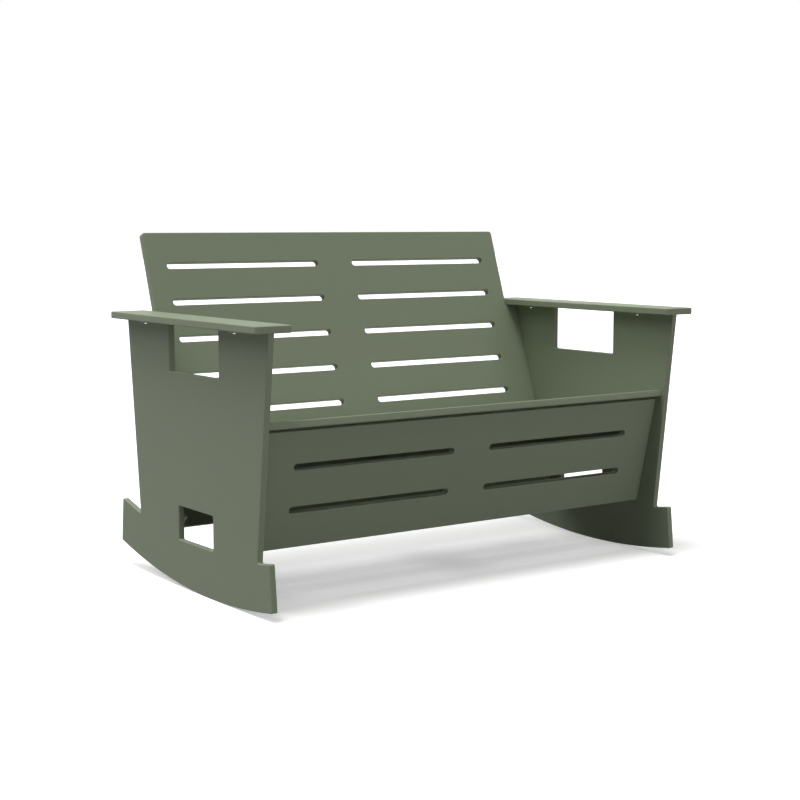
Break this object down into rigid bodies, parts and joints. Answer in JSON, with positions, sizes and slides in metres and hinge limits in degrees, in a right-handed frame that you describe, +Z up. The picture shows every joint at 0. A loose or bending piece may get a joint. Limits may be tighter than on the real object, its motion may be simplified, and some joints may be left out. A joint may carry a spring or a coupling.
{
  "type": "rocking bench",
  "caption": "Garden rocking bench of flat plastic sheets: side panels on curved runners, board armrests, slotted leaning back, sloped seat and slotted front panel.",
  "frame": {"origin": "on the floor, at the middle of the bench's box seen from above", "axes": "+X along the bench's length, to the right as seen from the front; +Y to the back; +Z up; the bench faces -Y"},
  "size_m": [1.219, 0.7103, 0.7891],
  "materials": {
    "sheet_plastic": "sage green recycled plastic sheet, fine matte grain, rounded edges",
    "bracket_paint": "green powder coat, satin",
    "screw_steel": "plain stainless steel"
  },
  "bodies": {
    "root": {"arm_screws": "screw_steel", "back_panel": "sheet_plastic", "bracket_screws": "screw_steel", "front_panel": "sheet_plastic", "left_armrest": "sheet_plastic", "left_back_bracket_high": "bracket_paint", "left_back_bracket_low": "bracket_paint", "left_front_bracket_high": "bracket_paint", "left_front_bracket_low": "bracket_paint", "left_front_strap": "bracket_paint", "left_rear_strap": "bracket_paint", "left_seat_bracket_front": "bracket_paint", "left_seat_bracket_rear": "bracket_paint", "left_side_panel": "sheet_plastic", "post_screws": "screw_steel", "rib_bracket_back": "bracket_paint", "rib_bracket_front": "bracket_paint", "rib_bracket_seat": "bracket_paint", "right_armrest": "sheet_plastic", "right_back_bracket_high": "bracket_paint", "right_back_bracket_low": "bracket_paint", "right_front_bracket_high": "bracket_paint", "right_front_bracket_low": "bracket_paint", "right_front_strap": "bracket_paint", "right_rear_strap": "bracket_paint", "right_seat_bracket_front": "bracket_paint", "right_seat_bracket_rear": "bracket_paint", "right_side_panel": "sheet_plastic", "seat_panel": "sheet_plastic", "seat_rib": "sheet_plastic"}
  },
  "joints": []
}
